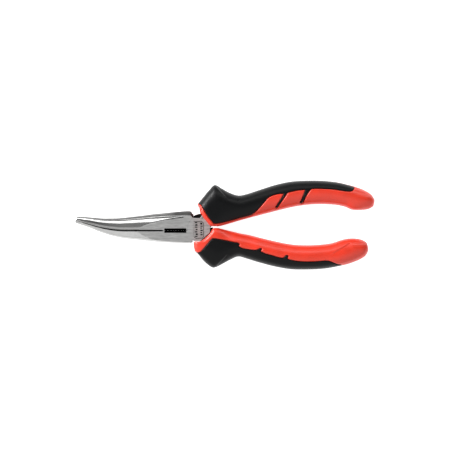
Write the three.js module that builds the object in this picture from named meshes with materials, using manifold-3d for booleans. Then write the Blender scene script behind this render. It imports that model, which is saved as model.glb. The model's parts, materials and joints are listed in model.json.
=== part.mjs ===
// Needle nose pliers with a bent nose and a side cutter, in millimetres.
//
// Two forged steel levers cross at a half-lap joint and turn on a flush rivet. The front lever carries the
// lower jaw and the upper handle, the rear lever the upper jaw and the lower handle. Each handle is a steel
// tang inside a hard plastic core, and a soft overmould wraps the core's outer edge and its finger guard.
//
// The drawing is made about the rivet, with X towards the handles, Y across the handles and Z through the
// thickness. At the end the group is moved so that its origin is the centre of the footprint, at the base.

import * as THREE from 'three';
import { mergeVertices } from 'three/addons/utils/BufferGeometryUtils.js';
import Module from 'manifold-3d';

const wasm = await Module();
wasm.setup();

// ---- Driving dimensions ----

const HEAD_HALF = 4.75; // half the thickness of the ground head
const GRIP_HALF = 8; // half the thickness of a grip
const GAP = 0.3; // clearance between pieces that lie against each other
const LAP_GAP = 0.1; // half the clearance between the two faces of the lap joint

const DISC_RADIUS = 9.35; // round part of each half of the lap joint
const BACK_RADIUS = 10.2; // the rear lever's cheek, where it stands out above the front disc
const BACK_FROM = 84; // and the angles between which it does, in degrees
const BACK_TO = 125;
const HEEL_RADIUS = 7.7; // the rear lever's heel, towards the handles
const HEEL_FROM = -75;
const HEEL_TO = 8;
const DISC_TOP = 7.35; // flat across the top of the front disc
const DISC_FOOT = -8; // flat across its foot
const DISC_SIDE = 5.7; // its edge towards the handles
const DISC_CORNERS = [[-0.7, DISC_FOOT], [DISC_SIDE, -2.3], [DISC_SIDE, 3], [1, DISC_TOP]]; // foot to top

const RIVET_RADIUS = 3.2;
const RIVET_HEAD = 4.4;
const RIVET_SINK = 1.2; // depth of each countersunk head
const RUN_CLEARANCE = 0.05; // between the rivet and its bore, all round
const BORE_OVERRUN = 1; // how far the shape that cuts the bore runs past the head
const ROUND_SEGMENTS = 48;

const PARTING_Y = -1.05; // height of the straight part of the line between the jaws
const BEND_START = 50; // distance from the rivet at which the nose starts to bend
const BEND_RADIUS = 75;
const BEND_ANGLE = 0.29;
const NOSE_STRAIGHT = 13.5; // straight stretch after the bend
const NOSE_LENGTH = BEND_START + BEND_RADIUS * BEND_ANGLE + NOSE_STRAIGHT;

const JAW_TAPER = 0.078; // growth of the nose's half thickness for each mm towards the rivet
const FLAT_START = 41.5; // distance from the rivet at which the nose reaches the head's thickness
const OVAL_END = FLAT_START + 3; // distance at which a jaw's section starts to fill out
const FULL_START = FLAT_START - 9; // and at which it is full
const WIDEST_CUT = 0.995; // share of a section's half thickness beyond which its flats always cut it
const JAW_ARC_STEPS = 9;

const TOOTH_GAP = 0.45; // half the opening between the toothed faces
const TIP_GAP = 0.15; // half the opening at the tip and in front of the cutter
const TOOTH_START = 28;
const TOOTH_END = 62;
const TOOTH_RUN_IN = 1; // length over which the opening grows behind the cutter

const SLOT_START = 10; // the cutter's relief, measured from the rivet
const SLOT_END = 24.7;
const SLOT_DEPTH = 1.5;
const BLADE_HALF = 2.4; // half the thickness of a cutting blade at its root

const POCKET_RADIUS = 14.6; // room inside a guard for the jaw's shoulder to swing into
const POCKET_HALF = HEAD_HALF + GAP;
const POCKET_FROM = 92; // angles between which it runs, from the handles' side, in degrees
const POCKET_TO = 165;
const DISC_ROOM = BACK_RADIUS + GAP;

const CORE_DEPTH = 1.85; // hard core below the surface, under the soft overmould
const CORE_SPAN = [0.07, 0.98]; // the share of a grip's length over which the hard core lies that deep
const SKIN_DEPTH = 1.4; // thickness of the overmould
const SKIN_SPAN = [0.02, 0.99]; // the share of the length over which the overmould is hollow
const GRIP_EDGE = 0.5; // half the flat on the mould line round a grip
const GRIP_COLUMNS = 9; // points across one face of a grip

// The outer edge of each jaw as pairs of distance from the rivet and height above the parting line.
const UPPER_JAW = [
  [NOSE_LENGTH, 2.5], [76, 4.7], [67.5, 6.3], [61, 7.45], [50, 8.85], [41, 9.9],
  [31, 11.15], [14.4, 12.7], [7.8, 13], [6.2, 11.6], [5.3, 10.75],
];
const LOWER_JAW = [
  [NOSE_LENGTH, 1.8], [75, 2.15], [68, 2.9], [61, 3.85], [50, 5.4], [41, 6.35],
  [28, 7.75], [15, 8.4], [9, 8.5], [7, 8.25], [5.9, 7.4],
];
const UPPER_FULLNESS = [2, 2]; // exponent of the section, on the nose and at the rivet
const LOWER_FULLNESS = [2, 7];

// Tangs: centre line, with the half width at each point.
const UPPER_TANG = [
  [2.2, 4, 4.8], [7.6, 10.1, 5], [14, 13.4, 4.7], [24, 14.2, 4.2],
  [45, 19.8, 4], [70, 24.4, 3.6], [88, 23.6, 2.6],
];
const LOWER_TANG = [
  [2.2, -4, 4.8], [7.2, -9.4, 5], [13, -11.5, 4.7], [24, -11.3, 4.2],
  [45, -16.3, 4], [70, -19.2, 3.6], [86, -18, 2.6],
];
const TANG_HALF = 3; // half the thickness of a tang inside its grip
const TANG_STEPS = 18;
const TANG_OFFSET_END = 0.26; // share of the tang over which it moves to the middle of the thickness

// Grips: stations from the guard to the end, each with its outer point, its inner point and a half thickness.
const UPPER_GRIP = [
  [-2.8, 16.7, 5.7, 2, 6.8], [0.7, 21, 8.3, 1.7, 8], [4.6, 25.7, 11.4, 1.8, 8], [8.8, 29.6, 14.5, 2.4, 8],
  [13.5, 27.3, 18, 3.4, 8], [19, 24.3, 21.5, 4.4, 8], [24.7, 22.6, 25.5, 5.6, 8], [30.1, 23.5, 31, 7.1, 8],
  [38.1, 26.1, 40, 9.5, 8], [48.8, 29.4, 52, 12.6, 8], [59.5, 31.6, 61, 14.7, 8], [70.1, 32.36, 70, 16.1, 8],
  [80.8, 32.24, 79, 16.6, 7.9], [91.5, 31.1, 88.8, 16.2, 7.7], [100.5, 28.7, 95.5, 14.9, 7.4],
  [108, 26.2, 100.5, 12.9, 7.1], [113, 23.2, 106, 12.6, 6.2], [115.4, 19.8, 111.5, 13.3, 4.2],
  [115.5, 17.9, 114.5, 15.1, 1.6],
];
const LOWER_GRIP = [
  [-2.5, -16.6, 7, 0.3, 6.8], [-0.2, -19.7, 8.8, 0.85, 8], [2.3, -22.4, 11.4, 0.6, 8], [5.5, -25, 14, 0, 8],
  [8.6, -26, 16.5, -0.6, 8], [13.5, -23.8, 19.4, -1.3, 8], [19, -20.8, 22.5, -2, 8],
  [24.5, -18.6, 26, -2.9, 8],
  [30, -19.9, 31.5, -3.9, 8], [38, -22.3, 39.5, -5.9, 8], [48.8, -25.1, 50.5, -8.5, 8],
  [59.5, -26.8, 60.5, -10.3, 8], [69.5, -27.2, 70, -10.8, 8], [80.8, -26.7, 79.5, -10.4, 7.9],
  [90, -25.3, 87, -9.4, 7.7], [98.5, -23.2, 93.5, -7.3, 7.4], [105, -20.7, 98.8, -6.3, 7.1],
  [109.3, -18, 105, -6.7, 6.2], [111.2, -14.7, 109.5, -8.5, 4.2], [111.3, -12.8, 110.8, -10.7, 1.6],
];
const STEPS_PER_STATION = 2;
const BLUNT_FRONT = 6; // exponent of a grip's section at the guard's mouth
const BLUNT_HANDLE = 3; // and along the handle
const BLUNT_END = 0.15; // share of the length over which the first turns into the second

// Lip round the guard's mouth on each face, from the outer edge to the inner one. It lies over the head.
const UPPER_FRONT_LIP = [[-1.3, 14.7], [-0.35, 12.7], [-0.2, 10.7], [1, 8], [3.7, 4.7]];
const UPPER_BACK_LIP = [[-1.7, 14.2], [-1.1, 11.8], [-0.5, 9.6], [1.4, 7.2], [3.9, 4.6]];
const LOWER_FRONT_LIP = [
  [-3.6, -15.8], [-4.7, -14.4], [-5.1, -12], [-4.6, -8.5], [-1, -8], [2.7, -5.7], [6, -2.4],
];
const LOWER_BACK_LIP = [[-1.9, -13.5], [-1, -11], [1, -8], [3.7, -4.7], [5.9, -1.8]];
const LIP_HALF = 6.8; // half the thickness over the lips
const LIP_ROOT = 0.12; // where a lip's ends meet the guard, as a share of its width

// Limits of the soft overmould on the face with slanted stripes, as seen on the upper grip's front.
const STRIPED_FACE = [
  [-0.3, 16], [2.3, 12.7], [4.3, 8.7], [6.3, 6], [8, 3.3], [9, 3], [15.7, 4.2], [22.4, 5.75], [29.1, 7.6],
  [32.4, 8.3], [34.4, 9.5], [37.1, 11.8], [42.75, 18.7], [45.1, 21.2], [47.8, 22.4], [54.2, 23.4],
  [51.8, 18.4], [49, 14.1], [49.8, 13.4], [50.7, 13.6], [53.4, 17.8], [56.2, 22.2], [57.8, 23.9],
  [60.1, 24.7],
  [69, 26], [66.7, 20], [65.3, 17], [66.5, 16.5], [67.8, 17.2], [71.1, 23.9], [73.4, 26.4],
  [76.7, 26.8], [87.8, 26.3], [97.7, 25], [99.7, 25.2], [101.3, 26.4], [102.1, 27.9],
];
// The same on the face with short nubs, as seen on the lower grip's front.
const NUBBED_FACE = [
  [-2.5, -16], [-0.5, -15], [2.9, -11.2], [6.8, -6.9], [8, -6.15], [11.5, -6.6], [20, -8.15], [23.8, -8.9],
  [25.5, -9.9], [24.9, -11.2], [26, -12.2], [28.5, -13], [36.4, -14], [38.3, -13.1], [40, -12.6],
  [40.5, -13.3],
  [39, -14.8], [42.6, -16.2], [54.4, -19.2], [55.8, -18], [56.9, -17.2], [58, -18], [57.4, -20],
  [62.9, -21.2], [68.5, -21.7], [73.8, -21.7], [83.4, -21.1], [85.6, -21.6], [90.5, -23.6], [93.3, -24.4],
];
const FACE_MARGIN = 6; // how far a face's limits run past the grip's outer edge,
const FACE_START = 2; // how far they rise in front of their first point
const FACE_END = 1; // and how far they lean out past the last one
const FLIP_SHIFT = 3; // a grip turned over on the other handle: its shift along X,
const FLIP_RISE = 3.3; // its shift across the handles
const FLIP_SLOPE = 0.033; // and its turn

const MITRE_LIMIT = 0.5; // keeps the corners of a grown outline short

const STEEL = { color: '#a6a6a5', roughness: 0.35, metalness: 1 };
const RIVET_STEEL = { color: '#9b9b9a', roughness: 0.3, metalness: 1 };
const HARD_PLASTIC = { color: '#e84a32', roughness: 0.4, metalness: 0 };
const SOFT_PLASTIC = { color: '#262727', roughness: 0.6, metalness: 0 };

// ---- Small helpers ----

const degrees = (angle) => (angle * Math.PI) / 180;
const lerp = (a, b, share) => a + (b - a) * share;
const ramp = (value, from, to) => Math.min(Math.max((value - from) / (to - from), 0), 1);
const point = ([x, y]) => new THREE.Vector2(x, y);

function spline(points) {
  const knots = points.map(([x, y]) => new THREE.Vector3(x, y, 0));
  return new THREE.CatmullRomCurve3(knots, false, 'catmullrom', 0.5);
}

function solid(geometry) {
  const bare = geometry.clone();
  bare.deleteAttribute('normal');
  bare.deleteAttribute('uv');
  const merged = mergeVertices(bare);
  return new wasm.Manifold(new wasm.Mesh({
    numProp: 3,
    vertProperties: new Float32Array(merged.attributes.position.array),
    triVerts: new Uint32Array(merged.index.array),
  }));
}

function prism(shape, low, high) {
  const geometry = new THREE.ExtrudeGeometry(shape, {
    depth: high - low,
    bevelEnabled: false,
    curveSegments: ROUND_SEGMENTS,
  });
  return solid(geometry.translate(0, 0, low));
}

function cylinder(radius, low, high) {
  const shape = new THREE.Shape();
  shape.absarc(0, 0, radius, 0, 2 * Math.PI);
  return prism(shape, low, high);
}

function polygon(points, low, high) {
  return prism(new THREE.Shape(points.map(point)), low, high);
}

// Signed volume of a closed mesh, which tells whether its faces point out.
function volume(positions, index) {
  const corner = (i) => new THREE.Vector3(...positions.slice(3 * i, 3 * i + 3));
  let sum = 0;
  for (let i = 0; i < index.length; i += 3) {
    const [a, b, c] = [corner(index[i]), corner(index[i + 1]), corner(index[i + 2])];
    sum += a.dot(b.cross(c)) / 6;
  }
  return sum;
}

// A closed body through rings of equal length. Point j of a ring lies across from point count - 1 - j, and
// the two ends are closed between those pairs.
function loft(rings) {
  const count = rings[0].length;
  const last = (rings.length - 1) * count;
  const positions = rings.flat().flatMap((p) => [p.x, p.y, p.z]);
  const index = [];
  const quad = (a, b, c, d) => index.push(a, b, c, a, c, d);
  for (let i = 0; i < last; i += count) {
    for (let j = 0; j < count; j += 1) {
      const next = (j + 1) % count;
      quad(i + j, i + count + j, i + count + next, i + next);
    }
  }
  for (let j = 0; j + 1 < count / 2; j += 1) {
    const far = count - 1 - j;
    quad(j, j + 1, far - 1, far);
    quad(last + j, last + far, last + far - 1, last + j + 1);
  }
  if (volume(positions, index) < 0) {
    index.reverse();
  }
  const geometry = new THREE.BufferGeometry();
  geometry.setAttribute('position', new THREE.Float32BufferAttribute(positions, 3));
  geometry.setIndex(index);
  return solid(geometry);
}

// ---- Jaws ----

// Point and direction of the parting line at a distance from the rivet.
function parting(distance) {
  const turned = Math.min(Math.max((distance - BEND_START) / BEND_RADIUS, 0), BEND_ANGLE);
  const before = Math.min(distance, BEND_START);
  const after = Math.max(distance - BEND_START - BEND_RADIUS * BEND_ANGLE, 0);
  return {
    x: -before - BEND_RADIUS * Math.sin(turned) - after * Math.cos(turned),
    y: PARTING_Y + BEND_RADIUS * (1 - Math.cos(turned)) + after * Math.sin(turned),
    turned,
  };
}

// Half the opening between the jaws when they are closed.
function halfOpening(distance) {
  const rise = ramp(distance, TOOTH_START, TOOTH_START + TOOTH_RUN_IN);
  const fall = 1 - ramp(distance, TOOTH_END, NOSE_LENGTH);
  return TIP_GAP + (TOOTH_GAP - TIP_GAP) * rise * fall;
}

// One section of a jaw: a half oval on the parting line, cut flat at the head's thickness.
function jawRing(distance, height, fullness, side) {
  const line = parting(distance);
  const half = HEAD_HALF + (FLAT_START - distance) * JAW_TAPER;
  const cut = Math.min(half, HEAD_HALF);
  const exponent = lerp(fullness[0], fullness[1], ramp(distance, OVAL_END, FULL_START));
  const start = Math.acos(Math.min(cut / half, WIDEST_CUT));
  const inner = halfOpening(distance);
  const outline = [[inner, cut]];
  for (let k = 0; k <= JAW_ARC_STEPS; k += 1) {
    const turn = lerp(start, Math.PI - start, k / JAW_ARC_STEPS);
    const rise = inner + (height - inner) * Math.sin(turn) ** (2 / exponent);
    outline.push([rise, THREE.MathUtils.clamp(half * Math.cos(turn), -cut, cut)]);
  }
  outline.push([inner, -cut]);
  return outline.map(([rise, z]) => new THREE.Vector3(
    line.x + side * rise * Math.sin(line.turned),
    line.y + side * rise * Math.cos(line.turned),
    z,
  ));
}

// The slot that makes room for the cutter, and the blade that stays in it.
function cutter(side) {
  const across = (rise) => PARTING_Y + side * rise;
  const slot = polygon(
    [[-SLOT_END, across(-SLOT_DEPTH)], [-SLOT_START, across(-SLOT_DEPTH)],
      [-SLOT_START, across(SLOT_DEPTH)], [-SLOT_END, across(SLOT_DEPTH)]],
    -2 * HEAD_HALF,
    2 * HEAD_HALF,
  );
  const root = across(SLOT_DEPTH + GAP);
  const wedge = [[-BLADE_HALF, root], [0, across(TIP_GAP)], [BLADE_HALF, root]];
  return { slot, blade: polygon(wedge, SLOT_START - GAP, SLOT_END + GAP).rotate([0, -90, 0]) };
}

function jaw(profile, fullness, side) {
  const curve = spline(profile);
  const steps = 2 * (profile.length - 1);
  const rings = [];
  for (let k = 0; k <= steps; k += 1) {
    const station = curve.getPoint(k / steps);
    rings.push(jawRing(station.x, station.y, fullness, side));
  }
  const { slot, blade } = cutter(side);
  return loft(rings).subtract(slot).add(blade);
}

// ---- Lap joint, rivet and tangs ----

// Outline of one disc of the joint; side is 1 for the front disc and -1 for the rear one, turned over.
function discShape(side) {
  const topAngle = Math.PI - Math.asin(DISC_TOP / DISC_RADIUS);
  const footAngle = Math.PI - Math.asin(DISC_FOOT / DISC_RADIUS);
  const steps = ROUND_SEGMENTS / 3;
  const points = [];
  for (let k = 0; k <= steps; k += 1) {
    const angle = lerp(topAngle, footAngle, k / steps);
    points.push([DISC_RADIUS * Math.cos(angle), side * DISC_RADIUS * Math.sin(angle)]);
  }
  const corners = DISC_CORNERS.map(([x, y]) => [x, side * y]);
  return new THREE.Shape([...points, ...corners].map(point));
}

function sector(radius, from, to, low, high) {
  const shape = new THREE.Shape();
  shape.moveTo(0, 0);
  shape.absarc(0, 0, radius, degrees(from), degrees(to));
  return prism(shape, low, high);
}

function rivetSolid(extra) {
  const reach = HEAD_HALF + (extra > 0 ? BORE_OVERRUN : 0);
  const flare = RIVET_HEAD + extra + (reach - HEAD_HALF) * ((RIVET_HEAD - RIVET_RADIUS) / RIVET_SINK);
  const neck = HEAD_HALF - RIVET_SINK;
  const shank = RIVET_RADIUS + extra;
  const profile = [[0, -reach], [flare, -reach], [shank, -neck], [shank, neck], [flare, reach], [0, reach]];
  const lathe = new THREE.LatheGeometry(profile.map(point), ROUND_SEGMENTS);
  return solid(lathe.rotateX(Math.PI / 2));
}

// A steel tang along its centre line, grown all round where it cuts its own socket.
function tang(route, side, extra) {
  const line = spline(route);
  const widths = spline(route.map(([, , width], k) => [k, width]));
  const rings = [];
  for (let k = 0; k <= TANG_STEPS; k += 1) {
    const share = k / TANG_STEPS;
    const centre = line.getPoint(share);
    const along = line.getTangent(share);
    const width = widths.getPoint(share).y + extra;
    const centred = ramp(share, TANG_OFFSET_END / 2, TANG_OFFSET_END);
    const near = lerp(LAP_GAP, -TANG_HALF, centred) - extra;
    const far = lerp(HEAD_HALF, TANG_HALF, centred) + extra;
    const [low, high] = side > 0 ? [near, far] : [-far, -near];
    const corner = (across, z) => new THREE.Vector3(
      centre.x - along.y * across,
      centre.y + along.x * across,
      z,
    );
    rings.push([corner(-width, high), corner(width, high), corner(width, low), corner(-width, low)]);
  }
  return loft(rings);
}

// A lever: its jaw, its half of the joint and its tang. side is 1 for the front lever.
function lever(side, jawSolid, tangRoute) {
  const [low, high] = side > 0 ? [LAP_GAP, HEAD_HALF] : [-HEAD_HALF, -LAP_GAP];
  const [otherLow, otherHigh] = side > 0 ? [-2 * HEAD_HALF, LAP_GAP] : [-LAP_GAP, 2 * HEAD_HALF];
  return jawSolid
    .subtract(cylinder(DISC_RADIUS + GAP, otherLow, otherHigh))
    .add(prism(discShape(side), low, high))
    .add(tang(tangRoute, side, 0).subtract(cylinder(DISC_ROOM + LAP_GAP, otherLow, otherHigh)))
    .subtract(rivetSolid(RUN_CLEARANCE));
}

// The rear lever's cheek and heel, which show beside the front disc.
function cheek() {
  return sector(BACK_RADIUS, BACK_FROM, BACK_TO, -HEAD_HALF, -LAP_GAP)
    .add(sector(HEEL_RADIUS, HEEL_FROM, HEEL_TO, -HEAD_HALF, -LAP_GAP))
    .subtract(rivetSolid(RUN_CLEARANCE));
}

// ---- Grips ----

// Half thickness of a grip across its width; across runs from -1 at the outer edge to 1 at the inner one.
const swell = (across, exponent) => (1 - Math.abs(across) ** exponent) ** (1 / exponent);

// One ring of a grip: its front face from the outer edge to the inner one, and its back face in return.
function gripRing(grip, share, inset) {
  const [outer, inner] = [grip.outer.getPoint(share), grip.inner.getPoint(share)];
  const half = Math.min(grip.half.getPoint(share).y, GRIP_HALF) - inset;
  const exponent = lerp(BLUNT_FRONT, BLUNT_HANDLE, ramp(share, 0, BLUNT_END));
  const pinch = inset / outer.distanceTo(inner);
  const side = (sign) => {
    const points = [];
    for (let k = 0; k <= GRIP_COLUMNS; k += 1) {
      const across = -Math.cos((Math.PI * k) / GRIP_COLUMNS);
      const spot = outer.clone().lerp(inner, lerp(pinch, 1 - pinch, (1 + across) / 2));
      spot.z = sign * Math.max(half * swell(across, exponent), GRIP_EDGE);
      points.push(spot);
    }
    return points;
  };
  return [...side(1), ...side(-1).reverse()];
}

function gripBody(grip, inset, from, to) {
  const steps = STEPS_PER_STATION * (grip.stations - 1);
  const rings = [];
  for (let k = 0; k <= steps; k += 1) {
    const share = k / steps;
    if (share >= from && share <= to) {
      rings.push(gripRing(grip, share, inset));
    }
  }
  return loft(rings);
}

// A lip on one face, from the guard's mouth back to the second station of the grip.
function lip(stations, rim, low, high) {
  const onStation = ([outerX, outerY, innerX, innerY], share) => [
    lerp(outerX, innerX, share),
    lerp(outerY, innerY, share),
  ];
  const outline = [
    onStation(stations[0], LIP_ROOT),
    ...rim,
    onStation(stations[0], 1 - LIP_ROOT),
    onStation(stations[1], 1 - LIP_ROOT),
    onStation(stations[1], LIP_ROOT),
  ];
  return polygon(outline, low, high);
}

function gripCurves(stations) {
  return {
    stations: stations.length,
    outer: spline(stations.map(([x, y]) => [x, y])),
    inner: spline(stations.map(([, , x, y]) => [x, y])),
    half: spline(stations.map(([, , , , half], k) => [k, half])),
  };
}

// A face's limits carried to the other handle, where the same grip lies turned over.
const flipped = (face, shift) => face.map(([x, y]) => [x + shift, FLIP_RISE + FLIP_SLOPE * x - y]);

// A closed outline grown by a distance, corner by corner.
function grown(points, distance) {
  const turn = THREE.ShapeUtils.area(points.map(point)) > 0 ? 1 : -1;
  const count = points.length;
  return points.map((here, k) => {
    const before = point(here).sub(point(points[(k + count - 1) % count])).normalize();
    const after = point(points[(k + 1) % count]).sub(point(here)).normalize();
    const bisector = before.clone().add(after).normalize();
    const reach = distance / Math.max(bisector.dot(before), MITRE_LIMIT);
    return [here[0] + turn * bisector.y * reach, here[1] - turn * bisector.x * reach];
  });
}

// The region of the overmould on one face: its limits, closed outside the grip's outer edge.
function skinRegion(face, side, extra, low, high) {
  const edge = side * (Math.max(...face.map(([, y]) => side * y)) + FACE_MARGIN + GRIP_HALF);
  const [first, last] = [face[0], face[face.length - 1]];
  const closed = [
    ...face,
    [last[0] + FACE_END, edge],
    [first[0] - FACE_MARGIN, edge],
    [first[0] - FACE_MARGIN, first[1] + side * FACE_START],
  ];
  return polygon(grown(closed, extra), low, high);
}

function skinPrism(frontFace, backFace, side, extra) {
  const reach = 2 * GRIP_HALF;
  return skinRegion(frontFace, side, extra, 0, reach).add(skinRegion(backFace, side, extra, -reach, 0));
}

// Core and overmould of one grip. side is 1 for the upper grip.
function gripPair(stations, side, [frontLip, backLip], [frontFace, backFace], tangRoute) {
  const grip = gripCurves(stations);
  const body = gripBody(grip, 0, 0, 1)
    .add(lip(stations, frontLip, POCKET_HALF, LIP_HALF))
    .add(lip(stations, backLip, -LIP_HALF, -POCKET_HALF));
  const [from, to] = side > 0 ? [POCKET_FROM, POCKET_TO] : [-POCKET_TO, -POCKET_FROM];
  const pocket = cylinder(DISC_ROOM, -POCKET_HALF, POCKET_HALF)
    .add(sector(POCKET_RADIUS, from, to, -POCKET_HALF, POCKET_HALF));
  const socket = tang(tangRoute, side, GAP);
  const core = body
    .subtract(skinPrism(frontFace, backFace, side, GAP))
    .add(gripBody(grip, CORE_DEPTH, ...CORE_SPAN))
    .subtract(pocket)
    .subtract(socket);
  const skin = body
    .intersect(skinPrism(frontFace, backFace, side, 0))
    .subtract(gripBody(grip, SKIN_DEPTH, ...SKIN_SPAN))
    .subtract(pocket)
    .subtract(socket);
  return { core, skin };
}

// ---- Assembly ----

function mesh(name, body, look) {
  const { vertProperties, triVerts } = body.getMesh();
  const geometry = new THREE.BufferGeometry();
  geometry.setAttribute('position', new THREE.BufferAttribute(new Float32Array(vertProperties), 3));
  geometry.setIndex(new THREE.BufferAttribute(new Uint32Array(triVerts), 1));
  geometry.computeVertexNormals();
  const part = new THREE.Mesh(geometry, new THREE.MeshStandardMaterial(look));
  part.name = name;
  return part;
}

function build() {
  const upper = gripPair(
    UPPER_GRIP,
    1,
    [UPPER_FRONT_LIP, UPPER_BACK_LIP],
    [STRIPED_FACE, flipped(NUBBED_FACE, FLIP_SHIFT)],
    UPPER_TANG,
  );
  const lower = gripPair(
    LOWER_GRIP,
    -1,
    [LOWER_FRONT_LIP, LOWER_BACK_LIP],
    [NUBBED_FACE, flipped(STRIPED_FACE, -FLIP_SHIFT)],
    LOWER_TANG,
  );
  const frontLever = lever(1, jaw(LOWER_JAW, LOWER_FULLNESS, -1), UPPER_TANG);
  const rearLever = lever(-1, jaw(UPPER_JAW, UPPER_FULLNESS, 1), LOWER_TANG).add(cheek());
  const group = new THREE.Group();
  group.add(
    mesh('front_lever', frontLever, STEEL),
    mesh('rear_lever', rearLever, STEEL),
    mesh('pivot_rivet', rivetSolid(0), RIVET_STEEL),
    mesh('upper_grip_core', upper.core, HARD_PLASTIC),
    mesh('lower_grip_core', lower.core, HARD_PLASTIC),
    mesh('upper_grip_overmould', upper.skin, SOFT_PLASTIC),
    mesh('lower_grip_overmould', lower.skin, SOFT_PLASTIC),
  );
  const box = new THREE.Box3().setFromObject(group);
  const centre = box.getCenter(new THREE.Vector3());
  group.position.set(-centre.x, -centre.y, -box.min.z);
  return group;
}

export default build();
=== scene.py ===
"""Looks of the needle nose pliers: two forged steel levers, a flush rivet and two two-shot grips.

Shapes are drawn in millimetres about the rivet, with X towards the handles, Y across the handles and Z up
through the thickness, and are placed in the frame, in metres, by the hinge's own position.
"""

import json
import math

import bpy
import numpy as np
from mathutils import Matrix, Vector


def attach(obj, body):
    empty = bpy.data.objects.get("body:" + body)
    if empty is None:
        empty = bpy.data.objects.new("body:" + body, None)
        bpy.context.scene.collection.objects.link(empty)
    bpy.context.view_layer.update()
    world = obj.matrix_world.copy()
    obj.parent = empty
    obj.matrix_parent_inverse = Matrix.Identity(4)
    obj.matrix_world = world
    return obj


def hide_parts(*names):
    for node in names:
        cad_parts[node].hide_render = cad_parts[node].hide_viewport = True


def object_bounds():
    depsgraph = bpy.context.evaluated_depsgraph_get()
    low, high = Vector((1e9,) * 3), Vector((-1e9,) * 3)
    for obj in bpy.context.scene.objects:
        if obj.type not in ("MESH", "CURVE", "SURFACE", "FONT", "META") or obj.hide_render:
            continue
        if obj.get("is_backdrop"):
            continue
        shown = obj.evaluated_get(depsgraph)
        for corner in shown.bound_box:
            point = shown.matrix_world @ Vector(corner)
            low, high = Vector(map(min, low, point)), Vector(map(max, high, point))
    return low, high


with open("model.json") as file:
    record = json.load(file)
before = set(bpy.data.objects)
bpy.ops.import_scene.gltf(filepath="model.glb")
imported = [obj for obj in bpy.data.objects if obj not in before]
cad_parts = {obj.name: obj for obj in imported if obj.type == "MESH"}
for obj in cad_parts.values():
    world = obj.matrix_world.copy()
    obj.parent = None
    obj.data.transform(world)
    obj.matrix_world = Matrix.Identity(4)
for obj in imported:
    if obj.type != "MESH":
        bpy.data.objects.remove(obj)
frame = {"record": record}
cad_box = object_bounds()

MM = 0.001
PIVOT = np.array(frame["record"]["behaviour"]["joints"][0]["pos_m"])
BEYOND = 20.0  # further out than any surface of the pliers

# ---- Head ----

HEAD_HALF = 4.72  # half the thickness of the jaws
DISC_HALF = 4.75  # half the thickness of the joint, which stands a hair proud of them
LAP_GAP = 0.08  # half the clearance between the two halves of the joint

DISC_RADIUS = 9.35  # round part of each half of the joint
DISC_BEVEL = 0.06
SEAM = 0.04  # clearance round a disc
DISC_TOP = 7.35  # flat across the top of the front disc
DISC_FOOT = -8.0  # flat across its foot
DISC_SIDE = 5.7  # its edge towards the handles
DISC_CORNERS = [
    (-0.7, DISC_FOOT), (DISC_SIDE - 0.5, -2.75), (DISC_SIDE, -2.0), (DISC_SIDE, 2.0),
    (9, 6), (6, 12), (1.6, 8.6), (1, DISC_TOP),
]
BACK_RADIUS = 10.2  # the rear lever's cheek, where it stands out above the front disc
BACK_ANGLES = (84, 125)
HEEL_RADIUS = 7.7  # the rear lever's heel, towards the handles
HEEL_ANGLES = (-75, 8)

RIVET_RADIUS = 3.2
RIVET_HEAD = 4.35
RIVET_SINK = 1.2  # depth of each countersunk head
RIVET_LAND = 0.25  # straight rim of a head, below the face
RIVET_GAP = 0.03  # clearance round the rivet

# ---- Jaws, with distances measured from the rivet ----

PARTING_Y = -1.05  # height of the straight part of the line between the jaws
BEND_START = 50.0  # where the nose starts to bend
BEND_RADIUS = 75.0
BEND_ANGLE = 0.29
NOSE_STRAIGHT = 13.5  # straight stretch after the bend
NOSE_LENGTH = BEND_START + BEND_RADIUS * BEND_ANGLE + NOSE_STRAIGHT

JAW_TAPER = 0.078  # growth of the nose's half thickness for each mm towards the rivet
FLAT_START = 41.5  # where the nose reaches the head's thickness
OVAL_END = FLAT_START + 3.5  # where a section starts to fill out
FULL_START = FLAT_START - 8.5  # and where it is full
EDGE_RISE = 0.75  # height of the square edge along the inner face of a jaw
EDGE_CHAMFER = 0.1
TIP_ROUND = 0.9  # length over which the tip is rounded
TIP_END = 0.12  # the square of the share of the section that is left at its end

TOOTH_START = 25.3
TOOTH_RUN_IN = 1.5  # length over which the opening grows behind the cutter
TOOTH_END = 62.0  # where the opening starts to close towards the tip
TOOTH_REACH = 81.0  # how far out the teeth run
TOOTH_FADE_IN = 0.8
TOOTH_FADE_OUT = 2.0
TOOTH_PITCH = 1.1
TOOTH_DEPTH = 0.32
TOOTH_CHAMFER = 0.4  # extra chamfer beside the teeth,
TOOTH_CHAMFER_LOSS = 0.75  # and the share of it that is gone at their end
TOOTH_GAP = 0.03  # half the opening between the toothed faces
TIP_GAP = 0.02  # half the opening at the tip and in front of the cutter

ARC_STEPS = 57  # points of a jaw's section along its outside,
FACE_STEPS = 5  # up each square edge
INNER_STEPS = 11  # and across its inner face

SLOT_START = 10.0  # the cutter's relief
SLOT_END = 24.7
SLOT_DEPTH = 1.5
SLOT_CORNER = 0.35
BLADE_HALF = 2.4  # half the thickness of a cutting blade at its root
BLADE_ROOT = 0.3  # how far it reaches into the steel round the relief
BLADE_PROFILE = [(0.005, 0.02), (0.5, 0.55), (SLOT_DEPTH + BLADE_ROOT, BLADE_HALF)]

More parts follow.
